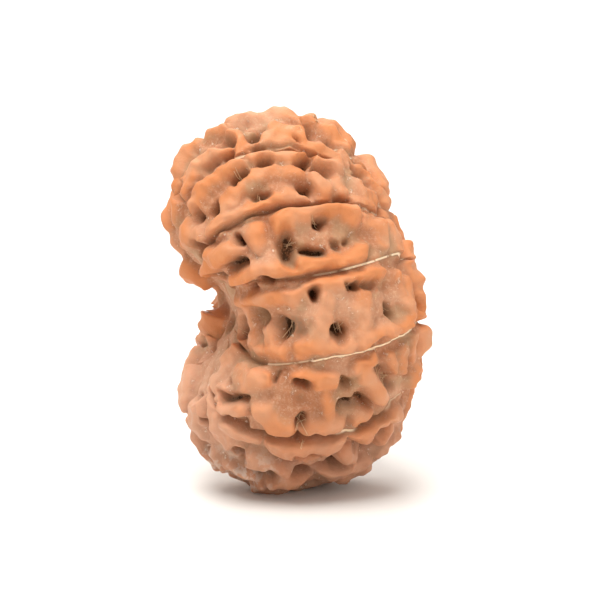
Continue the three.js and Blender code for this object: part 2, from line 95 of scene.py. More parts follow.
# Dried fibres, and about how many millimetres a mukhi and a unit of v take
FIBRE_RADIUS = 0.024
FIBRE_STEPS = 14
FIBRE_SIDES = 5
FIBRE_SAG = 0.6
FIBRE_WOBBLE = 0.06
FIBRE_SEED = 29
MUKHI_WIDTH = 5.0
WAY_LENGTH = 14.0

# The small spot that the bead stands on, where the relief is lower, and the middle of its box
REST_X = 0.8
REST_Y = 0.1
REST_INNER = 1.0
REST_OUTER = 3.0
REST_RELIEF = 0.35
REST_SHARE = 0.30
REST_Z = -13.66
CENTRE_X = 0.762
CENTRE_Y = 0.248

# Grid
NEAR_MUKHI = 7
NEAR_COLUMNS = 38
FAR_COLUMNS = 19
ROWS = 232
HOLE_ROWS = 8
GATHER = 0.05
STEP = 0.01

# Table top, which curves up far behind the bead
FLOOR_HALF = 900
FLOOR_FRONT = -700
FLOOR_RUN = 1700
FLOOR_STEPS = 40
RISE_FROM = 500
RISE_RUN = 600
RISE_HEIGHT = 700

# Camera, and where the middle of the bead falls in the photograph, in pixels
CAMERA_AZIMUTH = math.radians(-16)
CAMERA_ELEVATION = math.radians(10)
CAMERA_DISTANCE = 216.0
FOCAL_PIXELS = 3000.0
PHOTO_SIDE = 600
PHOTO_MIDDLE_X = 285.8
PHOTO_MIDDLE_Y = 303.4

# Colours of the stone; the lighter crests and darker floors, the pink lower left, the darker bottom and
# the dark pits and seams are partly or wholly painted light and shade
CREST_TONE_AND_HIGHLIGHT = (0.60, 0.222, 0.084, 1)
FLOOR_TONE_AND_SHADE = (0.44, 0.185, 0.092, 1)
PALE = (0.62, 0.345, 0.215, 1)
PAINTED_BOUNCE_PINK = (0.66, 0.40, 0.28, 1)
PIT_DEBRIS_AND_SHADE = (0.058, 0.021, 0.006, 1)
STAIN_AND_SHADE = (0.20, 0.068, 0.018, 1)
DUST = (0.68, 0.46, 0.31, 1)
CORD = (1.0, 0.78, 0.54, 1)
GREY = (0.34, 0.25, 0.17, 1)
PAINTED_LOW_SHADE = (0.42, 0.215, 0.140, 1)
KHAKI = (0.40, 0.27, 0.155, 1)
CHIP = (0.88, 0.68, 0.52, 1)
FROST = (0.62, 0.55, 0.47, 1)

# Angle of each seam round the axis, in degrees, at three stations along it
STATIONS = (-0.6, 0.0, 0.5)
SEAMS = np.array([
    (92, 81, 69), (76.5, 70, 60), (54, 50, 51), (30, 22, 32), (-19.5, -15.5, -14), (-53, -51, -50),
    (-72, -67, -62), (-92, -89, -86), (-120, -117, -115), (-148, -145, -144), (-173, -172, -172),
    (-198, -198, -199), (-222, -224, -227), (-246, -251, -258), (-268, -279, -291),
], float)


# Each ridge: height, half width, then its points as mukhi and way along
RIDGES = [
    # crown, seen edge on
    [0.80, 0.50, [[-0.40, -0.55], [-0.45, -0.50], [-0.50, -0.40], [-0.35, -0.33]]],
    [1.10, 0.50, [[-0.45, -0.46], [-0.40, -0.40]]],
    [0.60, 0.45, [[-0.25, -0.26], [-0.10, -0.18]]],
    [0.50, 0.45, [[-0.35, -0.13], [-0.28, -0.02]]],
    [0.60, 0.45, [[-0.35, 0.04], [-0.15, 0.13], [-0.35, 0.20]]],
    [0.65, 0.50, [[-0.50, 0.30], [-0.35, 0.40]]],
    [0.50, 0.42, [[-0.42, -0.16], [-0.40, 0.02], [-0.32, 0.10]]],
    [0.70, 0.40, [[-0.20, 0.24], [-0.10, 0.34]]],
    [0.60, 0.40, [[0.05, 0.42], [0.20, 0.50]]],
    [0.85, 0.65, [[-0.60, 0.58], [-0.10, 0.58], [0.20, 0.55]]],
    # mukhi 0
    [0.60, 0.45, [[0.10, -0.70], [0.05, -0.60], [0.15, -0.50]]],
    [0.70, 0.35, [[0.55, -0.56], [0.50, -0.45], [0.50, -0.33], [0.60, -0.27]]],
    [0.60, 0.35, [[0.15, -0.17], [0.50, -0.17], [0.75, -0.18]]],
    [0.80, 0.50, [[0.15, 0.00], [0.30, 0.02], [0.25, 0.09]]],
    [0.60, 0.40, [[0.60, -0.08], [0.55, 0.04], [0.70, 0.14], [0.70, 0.24]]],
    [0.50, 0.40, [[0.35, 0.27], [0.50, 0.34]]],
    # mukhi 1
    [0.80, 0.40, [[1.25, -0.53], [1.15, -0.45], [1.15, -0.33], [1.20, -0.23]]],
    [0.75, 0.40, [[1.08, -0.13], [1.10, 0.00], [1.12, 0.12], [1.15, 0.20]]],
    [0.60, 0.32, [[1.60, -0.36], [1.52, -0.25], [1.42, -0.15], [1.36, -0.06], [1.40, 0.02]]],
    [0.60, 0.35, [[1.50, 0.09], [1.72, 0.11]]],
    [0.55, 0.35, [[1.55, 0.18], [1.72, 0.20]]],
    [0.75, 0.32, [[1.88, -0.47], [1.82, -0.35], [1.86, -0.22], [1.84, -0.10], [1.80, 0.01]]],
    [0.45, 0.50, [[1.35, 0.35], [1.60, 0.40]]],
    [0.60, 0.45, [[1.70, -0.58], [1.55, -0.66]]],
    [0.70, 0.50, [[1.20, -0.72], [1.35, -0.64]]],
    [0.50, 0.40, [[1.20, 0.46], [1.75, 0.55]]],
    [0.50, 0.35, [[1.88, 0.26], [1.90, 0.40]]],
    # mukhi 2
    [0.95, 0.50, [[2.25, -0.10], [2.15, -0.04], [2.12, 0.08], [2.12, 0.16], [2.22, 0.22]]],
    [0.70, 0.40, [[2.35, -0.24], [2.20, -0.24]]],
    [0.80, 0.42, [[2.35, -0.70], [2.25, -0.58], [2.40, -0.47], [2.38, -0.39]]],
    [1.00, 0.60, [[2.30, 0.72], [2.60, 0.70]]],
    [0.70, 0.45, [[2.30, 0.52], [2.70, 0.54]]],
    [0.55, 0.40, [[2.25, 0.32], [2.30, 0.42]]],
    [0.50, 0.35, [[2.40, 0.40], [2.65, 0.40]]],
    [0.80, 0.34, [[2.88, -0.52], [2.80, -0.38], [2.76, -0.22], [2.80, -0.08], [2.80, 0.06], [2.80, 0.24]]],
    # mukhi 3
    [0.75, 0.40, [[3.20, -0.74], [3.22, -0.55], [3.22, -0.35], [3.22, -0.18]]],
    [0.75, 0.40, [[3.18, -0.08], [3.14, 0.08], [3.12, 0.22], [3.15, 0.32]]],
    [0.60, 0.45, [[3.60, -0.54], [3.78, -0.48]]],
    [0.75, 0.35, [[3.85, -0.58], [3.84, -0.45], [3.86, -0.36]]],
    [0.65, 0.35, [[3.85, -0.22], [3.82, -0.10], [3.86, 0.06]]],
    [0.80, 0.38, [[3.86, 0.14], [3.84, 0.26], [3.84, 0.38], [3.80, 0.50]]],
    [0.55, 0.45, [[3.35, -0.02], [3.60, -0.08], [3.80, -0.12]]],
    [0.50, 0.45, [[3.35, 0.16], [3.60, 0.14], [3.80, 0.14]]],
    [0.60, 0.38, [[3.30, 0.49], [3.60, 0.52], [3.80, 0.53]]],
    [0.90, 0.50, [[3.15, 0.66], [3.28, 0.72]]],
    [1.00, 0.50, [[3.55, 0.72], [3.80, 0.70]]],
    [0.60, 0.38, [[3.40, 0.58], [3.80, 0.60]]],
    [0.55, 0.45, [[3.35, -0.86], [3.70, -0.86], [4.05, -0.84]]],
    # mukhi 4
    [0.80, 0.36, [[4.22, -0.48], [4.24, -0.38]]],
    [0.55, 0.45, [[4.25, -0.62], [4.35, -0.52]]],
    [0.85, 0.42, [[4.20, -0.14], [4.28, -0.06], [4.32, 0.00]]],
    [0.60, 0.40, [[4.50, 0.00], [4.75, 0.01]]],
    [0.70, 0.36, [[4.20, 0.12], [4.18, 0.19]]],
    [0.75, 0.40, [[4.35, 0.16], [4.52, 0.20], [4.68, 0.28]]],
    [0.55, 0.32, [[4.20, 0.33], [4.45, 0.34]]],
    [0.55, 0.32, [[4.20, 0.44], [4.50, 0.44]]],
    [1.05, 0.70, [[4.28, 0.70], [4.50, 0.68]]],
    [0.55, 0.35, [[4.20, 0.56], [4.50, 0.57]]],
    [0.60, 0.34, [[3.36, -0.74], [3.60, -0.71], [3.80, -0.68]]],
    [0.55, 0.50, [[4.30, -0.84], [4.70, -0.80], [5.00, -0.76]]],
    [0.80, 0.45, [[4.75, 0.62], [4.90, 0.55]]],
    [0.75, 0.45, [[4.72, -0.64], [4.85, -0.56], [4.75, -0.46]]],
    [0.85, 0.48, [[4.65, -0.30], [4.80, -0.24], [4.82, -0.16]]],
    [0.85, 0.42, [[4.86, -0.06], [4.84, 0.03]]],
    [0.65, 0.32, [[4.88, 0.13], [4.88, 0.19]]],
    # mukhi 5
    [0.75, 0.36, [[5.25, -0.50], [5.22, -0.40], [5.22, -0.34]]],
    [1.15, 0.50, [[5.22, -0.22], [5.34, -0.13], [5.34, -0.03], [5.24, 0.04]]],
    [0.95, 0.42, [[5.16, 0.12], [5.32, 0.18]]],
    [0.80, 0.40, [[5.28, 0.24], [5.30, 0.36]]],
    [0.85, 0.40, [[5.68, -0.34], [5.80, -0.26]]],
    [0.95, 0.42, [[5.76, -0.19], [5.98, -0.16]]],
    [0.90, 0.45, [[5.66, 0.08], [5.94, 0.10]]],
    [0.80, 0.42, [[5.85, 0.27], [5.75, 0.33]]],
    [0.60, 0.45, [[5.60, -0.55], [5.70, -0.42]]],
    [0.85, 0.42, [[5.30, 0.36], [5.45, 0.40]]],
    [0.50, 0.45, [[5.15, -0.68], [5.45, -0.60], [5.75, -0.54]]],
    [0.60, 0.50, [[5.60, -0.72], [5.90, -0.68]]],
    # mukhi 6
    [0.75, 0.30, [[6.20, -0.34], [6.22, -0.30]]],
    [0.80, 0.30, [[6.14, -0.15]]],
    [0.80, 0.32, [[6.12, 0.02], [6.16, 0.10]]],
    [0.70, 0.30, [[6.50, -0.24]]],
    [0.70, 0.32, [[6.36, 0.30]]],
    [0.90, 0.45, [[6.26, -0.18], [6.24, -0.06]]],
    [0.60, 0.40, [[6.30, 0.34], [6.40, 0.42]]],
    [0.70, 0.40, [[6.70, -0.26], [6.72, -0.14]]],
    [0.70, 0.40, [[6.62, 0.10], [6.60, 0.22]]],
    [0.70, 0.45, [[6.35, -0.42], [6.30, -0.30]]],
    [0.70, 0.45, [[6.30, 0.06], [6.30, 0.20]]],
    [0.70, 0.50, [[6.35, -0.76], [6.60, -0.68]]],
    [0.60, 0.40, [[6.55, -0.54], [6.70, -0.46]]],
    [0.70, 0.50, [[6.90, -0.70], [7.10, -0.64]]],
    [0.80, 0.60, [[7.70, -0.82], [7.40, -0.75]]],
    # two blunt horns on the rim of the notch
    [1.30, 0.60, [[12.42, -0.84], [12.28, -0.79]]],
    [1.75, 0.75, [[9.50, -0.87], [9.70, -0.85]]],
]

# Each hollow: depth, radius, then its points as mukhi and way along
HOLLOWS = [
    [0.90, 0.50, [[0.30, -0.27], [0.38, -0.21]]],
    [0.60, 0.35, [[0.80, -0.27], [0.80, -0.24]]],
    [1.00, 0.42, [[0.06, -0.03], [0.20, -0.06], [0.50, -0.10]]],
    [0.60, 0.40, [[-0.12, -0.16], [-0.14, -0.10]]],
    [0.50, 0.30, [[0.80, -0.41], [0.80, -0.33]]],
    [0.60, 0.30, [[0.93, -0.12], [0.95, -0.08]]],
    [0.60, 0.28, [[0.60, 0.05]]],
    [0.90, 0.45, [[-0.14, 0.145], [0.12, 0.16]]],
    [0.90, 0.40, [[0.02, 0.25], [0.30, 0.26]]],
    [0.60, 0.36, [[0.55, 0.33], [0.50, 0.42]]],
    [0.60, 0.40, [[-0.25, 0.46], [-0.20, 0.50]]],
    [0.70, 0.42, [[0.82, 0.36], [0.85, 0.42]]],
    [1.20, 0.44, [[0.30, -0.60], [0.32, -0.57]]],
    [1.10, 0.44, [[1.36, -0.26], [1.34, -0.22]]],
    [0.90, 0.42, [[1.24, -0.10], [1.22, -0.06]]],
    [1.00, 0.40, [[1.26, 0.04], [1.16, 0.075]]],
    [0.60, 0.45, [[1.32, 0.10], [1.38, 0.16]]],
    [0.90, 0.42, [[1.68, 0.01], [1.68, 0.045]]],
    [0.80, 0.36, [[1.72, -0.17], [1.74, -0.11]]],
    [1.10, 0.40, [[1.56, -0.42], [1.62, -0.425]]],
    [1.05, 0.42, [[1.40, -0.54]]],
    [0.70, 0.35, [[1.30, 0.49], [1.60, 0.50]]],
    [0.70, 0.32, [[1.92, 0.17], [1.92, 0.23]]],
    [0.90, 0.50, [[1.80, -0.64], [1.95, -0.68]]],
    [1.10, 0.42, [[2.27, 0.06]]],
    [0.80, 0.36, [[2.22, 0.27], [2.12, 0.285]]],
    [0.95, 0.40, [[2.22, -0.36], [2.32, -0.355]]],
    [0.95, 0.56, [[2.44, -0.10], [2.56, -0.09], [2.68, -0.10]]],
    [1.00, 0.36, [[2.62, -0.04], [2.66, 0.03]]],
    [0.70, 0.40, [[2.60, 0.11]]],
    [0.60, 0.40, [[2.56, 0.18]]],
    [0.95, 0.42, [[2.66, -0.48], [2.66, -0.44], [2.64, -0.39]]],
    [1.15, 0.46, [[2.60, -0.70], [2.58, -0.67]]],
    [0.80, 0.32, [[2.93, -0.31], [2.94, -0.28]]],
    [0.70, 0.40, [[3.08, -0.46]]],
    [1.15, 0.42, [[3.25, -0.07]]],
    [0.95, 0.36, [[3.20, 0.10], [3.20, 0.14]]],
    [0.55, 0.40, [[3.25, 0.19], [3.25, 0.26]]],
    [1.15, 0.50, [[3.42, -0.59], [3.46, -0.56]]],
    [1.20, 0.55, [[3.55, -0.42], [3.60, -0.41]]],
    [0.60, 0.70, [[3.50, -0.40], [3.55, -0.32], [3.65, -0.28]]],
    [1.30, 0.48, [[3.56, -0.84], [3.74, -0.85]]],
    [1.20, 0.52, [[3.67, -0.005], [3.73, 0.015]]],
    [1.30, 0.50, [[3.58, 0.36], [3.66, 0.38]]],
    [0.90, 0.38, [[3.52, 0.64], [3.70, 0.68]]],
    [0.60, 0.40, [[2.50, 0.62], [2.80, 0.62]]],
    [0.55, 0.28, [[4.10, -0.33], [4.25, -0.32]]],
    [0.80, 0.36, [[4.26, -0.15], [4.34, -0.09]]],
    [0.45, 0.60, [[4.50, -0.12]]],
    [0.95, 0.42, [[4.32, 0.045], [4.38, 0.07]]],
    [1.20, 0.48, [[4.64, 0.06], [4.66, 0.10]]],
    [0.90, 0.38, [[4.70, 0.13], [4.74, 0.20]]],
    [0.70, 0.42, [[4.35, 0.26], [4.50, 0.30], [4.72, 0.36]]],
    [0.70, 0.34, [[4.55, 0.50], [4.68, 0.51]]],
    [0.60, 0.34, [[4.40, 0.62], [4.60, 0.63]]],
    [0.90, 0.42, [[4.78, -0.85], [5.00, -0.82]]],
    [0.90, 0.40, [[4.76, -0.63], [4.62, -0.54], [4.52, -0.45]]],
    [0.50, 0.28, [[4.50, -0.64]]],
    [1.15, 0.46, [[4.78, -0.09]]],
    [0.60, 0.34, [[4.93, -0.50], [4.95, -0.40]]],
    [1.25, 0.46, [[5.72, -0.46], [5.74, -0.39]]],
    [0.60, 0.40, [[5.60, -0.20], [5.64, -0.08]]],
    [1.25, 0.44, [[6.12, -0.26], [6.14, -0.21]]],
    [1.15, 0.42, [[6.10, -0.09], [6.12, -0.04]]],
    [1.20, 0.42, [[5.98, 0.04], [6.02, 0.08]]],
    [0.75, 0.36, [[6.72, 0.17]]],
    [0.70, 0.32, [[5.60, 0.64]]],
    [1.05, 0.42, [[5.62, 0.16], [5.74, 0.19]]],
    [0.80, 0.40, [[5.98, 0.20], [6.05, 0.26]]],
    [0.80, 0.42, [[5.60, 0.45], [5.75, 0.48]]],
    [0.80, 0.40, [[5.55, 0.26], [5.60, 0.30]]],
    [0.60, 0.38, [[4.35, -0.94], [4.80, -0.90], [5.10, -0.84]]],
    [0.50, 0.35, [[5.30, -0.78], [5.70, -0.68], [6.05, -0.60]]],
    [0.80, 0.34, [[5.03, -0.11]]],
    [0.45, 0.24, [[5.42, -0.12], [5.45, -0.03]]],
    [0.75, 0.34, [[5.50, 0.22], [5.46, 0.20]]],
    [0.60, 0.40, [[6.25, -0.80]]],
    [0.60, 0.40, [[6.70, -0.61], [6.80, -0.56]]],
    [0.60, 0.40, [[7.30, -0.70]]],
    [0.70, 0.40, [[6.60, -0.10], [6.65, 0.00]]],
    [0.90, 0.40, [[8.90, -0.93], [8.60, -0.90]]],
    [0.60, 0.40, [[6.60, -0.36], [6.70, -0.30]]],
]

# Pale tissue left in the seams: seam, from and to along it, strength
SUTURES = [
    (0, 0.20, 0.60, 0.5),
    (1, -0.26, -0.13, 0.9),
    (1, 0.16, 0.55, 0.7),
    (2, 0.24, 0.60, 0.6),
    (3, -0.04, 0.10, 0.4),
    (3, 0.08, 0.80, 1.0),
    (4, -0.50, -0.10, 0.5),
    (4, -0.14, 0.80, 1.0),
    (5, 0.00, 0.14, 0.9),
    (5, 0.30, 0.60, 0.4),
    (7, -0.30, 0.30, 0.4),
    (9, -0.40, 0.20, 0.6),
    (10, 0.00, 0.60, 0.8),
    (12, -0.50, 0.40, 0.7),
]

# Pits with dried fibres: mukhi, way along, half width in millimetres, how many
FIBRES = [
    (0.28, 0.07, 0.40, 5),
    (13.76, 0.19, 0.40, 7),
    (13.74, 0.34, 0.35, 6),
    (0.16, 0.26, 0.50, 7),
    (1.70, -0.17, 0.35, 3),
    (1.32, -0.24, 0.40, 3),
    (2.22, 0.04, 0.40, 4),
    (2.46, -0.07, 0.45, 6),
    (2.56, -0.70, 0.45, 6),
    (3.22, 0.11, 0.45, 8),
    (3.43, -0.60, 0.40, 6),
    (3.62, -0.41, 0.55, 7),
    (3.72, -0.88, 0.40, 4),
    (3.68, 0.01, 0.50, 7),
    (3.64, 0.37, 0.50, 5),
    (4.34, 0.04, 0.40, 6),
    (4.40, 0.27, 0.45, 8),
    (4.54, 0.33, 0.55, 12),
    (4.78, -0.10, 0.45, 8),
    (5.10, -0.09, 0.30, 3),
    (6.22, -0.24, 0.40, 3),
    (6.12, -0.07, 0.40, 4),
    (8.50, 0.20, 0.45, 6),
    (10.50, -0.10, 0.45, 6),
    (12.50, 0.30, 0.45, 6),
]


def make_chance(seed):
    """A small number generator, so the far side grows the same way every time."""
    state = seed
    while True:
        state = (state * 1664525 + 1013904223) % 4294967296
        yield state / 4294967296


def grow_unseen_sides():
    """Broken rims, cross ribs and hollows on the far mukhi, and a few round the right pole."""
    source = make_chance(UNSEEN_SEED)

    def chance():
        return next(source)

    ridges = []
    hollows = []
    for k in range(FIRST_UNSEEN, MUKHI - 1):
        for edge in (0.20, 0.80):
            v = -0.62
            while v < 0.68:
                length = 0.10 + 0.28 * chance()
                points = [[k + edge + 0.14 * (chance() - 0.5), v + length * t] for t in (0, 0.5, 1)]
                ridges.append([0.50 + 0.5 * chance(), 0.28 + 0.20 * chance(), points])
                v += length + 0.06 + 0.07 * chance()
        v = -0.66
        while v < 0.70:
            slant = 0.12 * (chance() - 0.5)
            points = [[k + 0.25, v + slant], [k + 0.5, v], [k + 0.75, v - slant]]
            ridges.append([0.4 + 0.5 * chance(), 0.28 + 0.16 * chance(), points])
            bay = 0.12 + 0.18 * chance()
            depth = 0.4 + 0.9 * chance()
            radius = 0.26 + 0.28 * chance()
            first = [k + 0.35 + 0.3 * chance(), v + 0.5 * bay]
            across = k + 0.30 + 0.4 * chance()
            hollows.append([depth, radius, [first, [across, v + (0.5 + 0.4 * (chance() - 0.5)) * bay]]])
            v += bay
    for k in range(FIRST_UNSEEN):
        v = 0.70 + 0.05 * chance()
        ridges.append([0.5 + 0.4 * chance(), 0.30 + 0.15 * chance(), [[k + 0.3, v], [k + 0.7, v + 0.05]]])
        hollows.append([0.4 + 0.4 * chance(), 0.30 + 0.10 * chance(), [[k + 0.5, v + 0.08]]])
    return ridges, hollows


def smooth(x):
    x = np.clip(x, 0, 1)
    return x * x * (3 - 2 * x)


def gauss(x):
    return np.exp(-x * x)


def clip_share(x, whole):
    """x as a share of the whole, no more than one."""
    return np.clip(x / whole, 0, 1)


def length_of(vectors):
    return np.sqrt((vectors * vectors).sum(-1))


def seam_angle(k, v):
    """Angle of seam k at v: the parabola through its three stations."""
    a, b, c = STATIONS
    t = np.clip(v, *SEAM_ENDS)
    left = (t - b) * (t - c) / ((a - b) * (a - c))
    middle = (t - a) * (t - c) / ((b - a) * (b - c))
    right = (t - a) * (t - b) / ((c - a) * (c - b))
    row = SEAMS[k]
    return row[..., 0] * left + row[..., 1] * middle + row[..., 2] * right


def base_point(u, v):
    """The smooth kidney without relief: a girth curve whose radius swells from pole to pole."""
    u = np.asarray(u, float) % MUKHI
    v = np.asarray(v, float)
    k = np.floor(u).astype(int)
    s = u - k
    angle = np.radians(seam_angle(k, v) * (1 - s) + seam_angle(k + 1, v) * s)
    turn = (v + 1) / 2 * math.pi
    sine = np.abs(np.sin(turn))
    cosine = np.cos(turn)
    girth = (np.abs(np.cos(angle) / HALF_DEPTH) ** (2 * GIRTH_POWER)
             + np.abs(np.sin(angle) / HALF_HEIGHT) ** (2 * GIRTH_POWER)) ** (-0.5 / GIRTH_POWER)
    swell = sine ** PROFILE_POWER
    radius = HOLE_RADIUS + (girth - HOLE_RADIUS) * swell
    y = -radius * np.cos(angle)
    z = radius * np.sin(angle) - POLE_DROP * (1 - swell)
    along = np.sign(cosine) * np.abs(cosine) ** END_POWER
    leftness = np.clip((1 + along) / 2, 0, 1)
    x = -np.where(cosine > 0, LEFT_WIDTH, RIGHT_WIDTH) * along
    x = x * (1 + TAPER * z / HALF_HEIGHT) + SHEAR * z / HALF_HEIGHT
    x = x + NOTCH_DEPTH * gauss((z - NOTCH_Z) / NOTCH_HALF) * leftness ** 2
    x = x - DIMPLE_DEPTH * gauss(radius / DIMPLE_RADIUS) * (1 - leftness) ** 2
    turned_x = x * math.cos(LEAN) - z * math.sin(LEAN)
    turned_z = x * math.sin(LEAN) + z * math.cos(LEAN)
    return np.stack([turned_x, y, turned_z], -1)


def waves(p, count, length, seed):
    """A gentle irregular field: waves in evenly spread directions, added up."""
    total = 0
    for i in range(count):
        around = i * 2.399963 + seed
        z = 1 - 2 * (i + 0.5) / count
        flat = math.sqrt(1 - z * z)
        rate = (1 + 0.35 * math.sin(3.1 * i + seed)) / length
        way = p @ np.array([flat * math.cos(around), flat * math.sin(around), z])
        total = total + np.sin(way * rate * 2 * math.pi + 1.7 * i + seed * 2.3)
    return total / math.sqrt(count)


def line_distance(p, line):
    """Distance from the points p to a line of points."""
    if len(line) == 1:
        return length_of(p - line[0])
    best = np.full(p.shape[:-1], np.inf)
    for start, end in zip(line[:-1], line[1:]):
        way = end - start
        away = p - start
        t = np.clip((away @ way) / (way @ way + 1e-9), 0, 1)
        best = np.minimum(best, length_of(away - t[..., None] * way))
    return best


def pile(p, strokes, shape):
    """Blends strokes by a power sum. shape gives a stroke's height at a distance from its line."""
    total = np.zeros(len(p))
    for amount, width, points in strokes:
        pairs = np.array(points, float)
        line = base_point(pairs[:, 0], pairs[:, 1])
        middle = line.mean(0)
        reach = length_of(line - middle).max() + width * 1.6 + FLANK
        close = np.flatnonzero(((p - middle) ** 2).sum(-1) < reach * reach)
        total[close] += shape(amount, width, line_distance(p[close], line)) ** BLEND
    return total ** (1 / BLEND)


def ridge_shape(height, half, distance):
    """A rounded crest with soft flanks."""
    t = np.clip((distance - half * 0.5) / (FLANK + half * 0.5), 0, 1)
    return RIDGE_SCALE * height * (1 - t * t) ** 1.6


def hollow_shape(depth, reach, distance):
    """A round-bottomed pit."""
    t = np.clip(distance / (reach * 1.40), 0, 1)
    return depth * (1 - t * t) ** 1.5


def suture_share(u, v):
    """How much of the pale cord of tissue shows in the nearest seam."""
    nearest = np.round(u) % MUKHI
    share = np.zeros(u.shape)
    for k, start, end, strength in SUTURES:
        inside = smooth((v - start) / 0.04) * smooth((end - v) / 0.04)
        share = np.maximum(share, np.where(nearest == k, strength * inside, 0))
    return share


def bead_surface(u, v):
    """The finished surface and, at each point, how much of it is crest, hollow and seam."""
    place = base_point(u, v)
    along_u = (base_point(u + STEP, v) - base_point(u - STEP, v)) / (2 * STEP)
    inner = np.clip(v, -POLE_GUARD, POLE_GUARD)
    along_v = base_point(u, inner + STEP) - base_point(u, inner - STEP)
    normal = np.cross(along_u, along_v)
    normal /= length_of(normal)[..., None]
    width = length_of(along_u)
    s = u % 1
    flat = place.reshape(-1, 3)
    p = flat + WANDER * np.stack([waves(flat, 7, 3.1, seed) for seed in (1, 2, 3)], -1)
    p += SMALL_WANDER * np.stack([waves(flat, 11, 1.3, seed) for seed in (4, 5, 6)], -1)
    lumps = LUMPS * (waves(flat, 13, 1.9, 7) + 0.6 * waves(flat, 17, 0.9, 8)).reshape(u.shape)
    more_ridges, more_hollows = grow_unseen_sides()
    ridges = pile(p, RIDGES + more_ridges, ridge_shape).reshape(u.shape)
    hollows = pile(p, HOLLOWS + more_hollows, hollow_shape).reshape(u.shape)
    bulge = BULGE * np.sin(math.pi * s) ** 0.5
    lobed = clip_share(width, FULL_WIDTH) ** 2
    apart = np.minimum(s, 1 - s) * width
    seam = gauss(apart / SEAM_HALF) * lobed
    cut = smooth(hollows / 0.7)
    raised = ridges * (1 - cut) * (1 - 0.8 * seam)
    height = (FLOOR_LEVEL + raised - hollows + lumps * (1 - 0.5 * seam)) * clip_share(width, RELIEF_WIDTH)
    suture = suture_share(u, v)
    height += bulge * lobed - SEAM_DEPTH * seam * (1 - 0.6 * cut) * (1 - suture)
    height += CORD_RISE * suture * gauss(apart / CORD_SPREAD) * lobed * (1 - cut)
    away = np.hypot(place[..., 0] - REST_X, place[..., 1] - REST_Y)
    apart_from_rest = smooth((away - REST_INNER) / (REST_OUTER - REST_INNER))
    near = REST_SHARE * np.where(place[..., 2] < 0, 1 - apart_from_rest, 0)
    height = height * (1 - near) + REST_RELIEF * near
    fade = clip_share(1 - np.abs(v), RIM_FADE) ** 0.7
    height *= fade
    lean = np.minimum(raised, MOST_LEAN) * (1 - near) * fade * lobed
    lean *= -OVERHANG * np.sin(2 * math.pi * s) / width
    points = base_point(u + lean, v) + normal * height[..., None]
    points[..., 2] = np.maximum(points[..., 2], REST_Z)
    points -= np.array([CENTRE_X, CENTRE_Y, REST_Z])
    values = {"crest": raised, "hollow": hollows, "seam": seam, "apart": apart, "suture": suture}
    return points, values


def grid_faces(columns, ring):
    """Quads of a grid that closes both ways."""
    i, j = np.meshgrid(np.arange(columns), np.arange(ring), indexing="ij")
    after = (i + 1) % columns
    up = (j + 1) % ring
    quads = [i * ring + j, after * ring + j, after * ring + up, i * ring + up]
    return np.stack(quads, -1).reshape(-1, 4)


def mesh_object(name, points, faces, values, material):
    """A smooth-shaded mesh object at the origin, with its per-point values as attributes."""
    mesh = bpy.data.meshes.new(name)
    mesh.from_pydata((points.reshape(-1, 3) * MM).tolist(), [], faces)
    for key, value in values.items():
        attribute = mesh.attributes.new(key, "FLOAT", "POINT")
        attribute.data.foreach_set("value", np.asarray(value, np.float32).ravel())
    mesh.polygons.foreach_set("use_smooth", np.ones(len(mesh.polygons), bool))
    mesh.update()
    made = bpy.data.objects.new(name, mesh)
    bpy.context.scene.collection.objects.link(made)
    made.data.materials.append(material)
    return made


def thread_tubes(path, radius):
    """Points and faces of thin tubes along the paths, closed at both ends."""
    way = np.gradient(path, axis=1)
    way /= length_of(way)[..., None]
    side = np.cross(way, np.array([0.3, 0.2, 0.93]))
    side /= length_of(side)[..., None]
    other = np.cross(way, side)
    sides = FIBRE_SIDES
    ring = 2 * math.pi * np.arange(sides) / sides
    offset = side[:, :, None] * np.cos(ring)[:, None] + other[:, :, None] * np.sin(ring)[:, None]
    points = path[:, :, None] + offset * radius[:, None, None, None]
    threads, steps = path.shape[:2]
    lanes = (np.arange(threads), np.arange(steps - 1), np.arange(sides))
    lane, i, j = np.meshgrid(*lanes, indexing="ij")
    base = (lane * steps + i) * sides
    after = (j + 1) % sides
    quads = np.stack([base + j, base + after, base + sides + after, base + sides + j], -1)
    starts = np.arange(threads)[:, None] * steps * sides
    first = starts + np.arange(sides)[::-1]
    last = starts + (steps - 1) * sides + np.arange(sides)
    return points, quads.reshape(-1, 4).tolist() + first.tolist() + last.tolist()


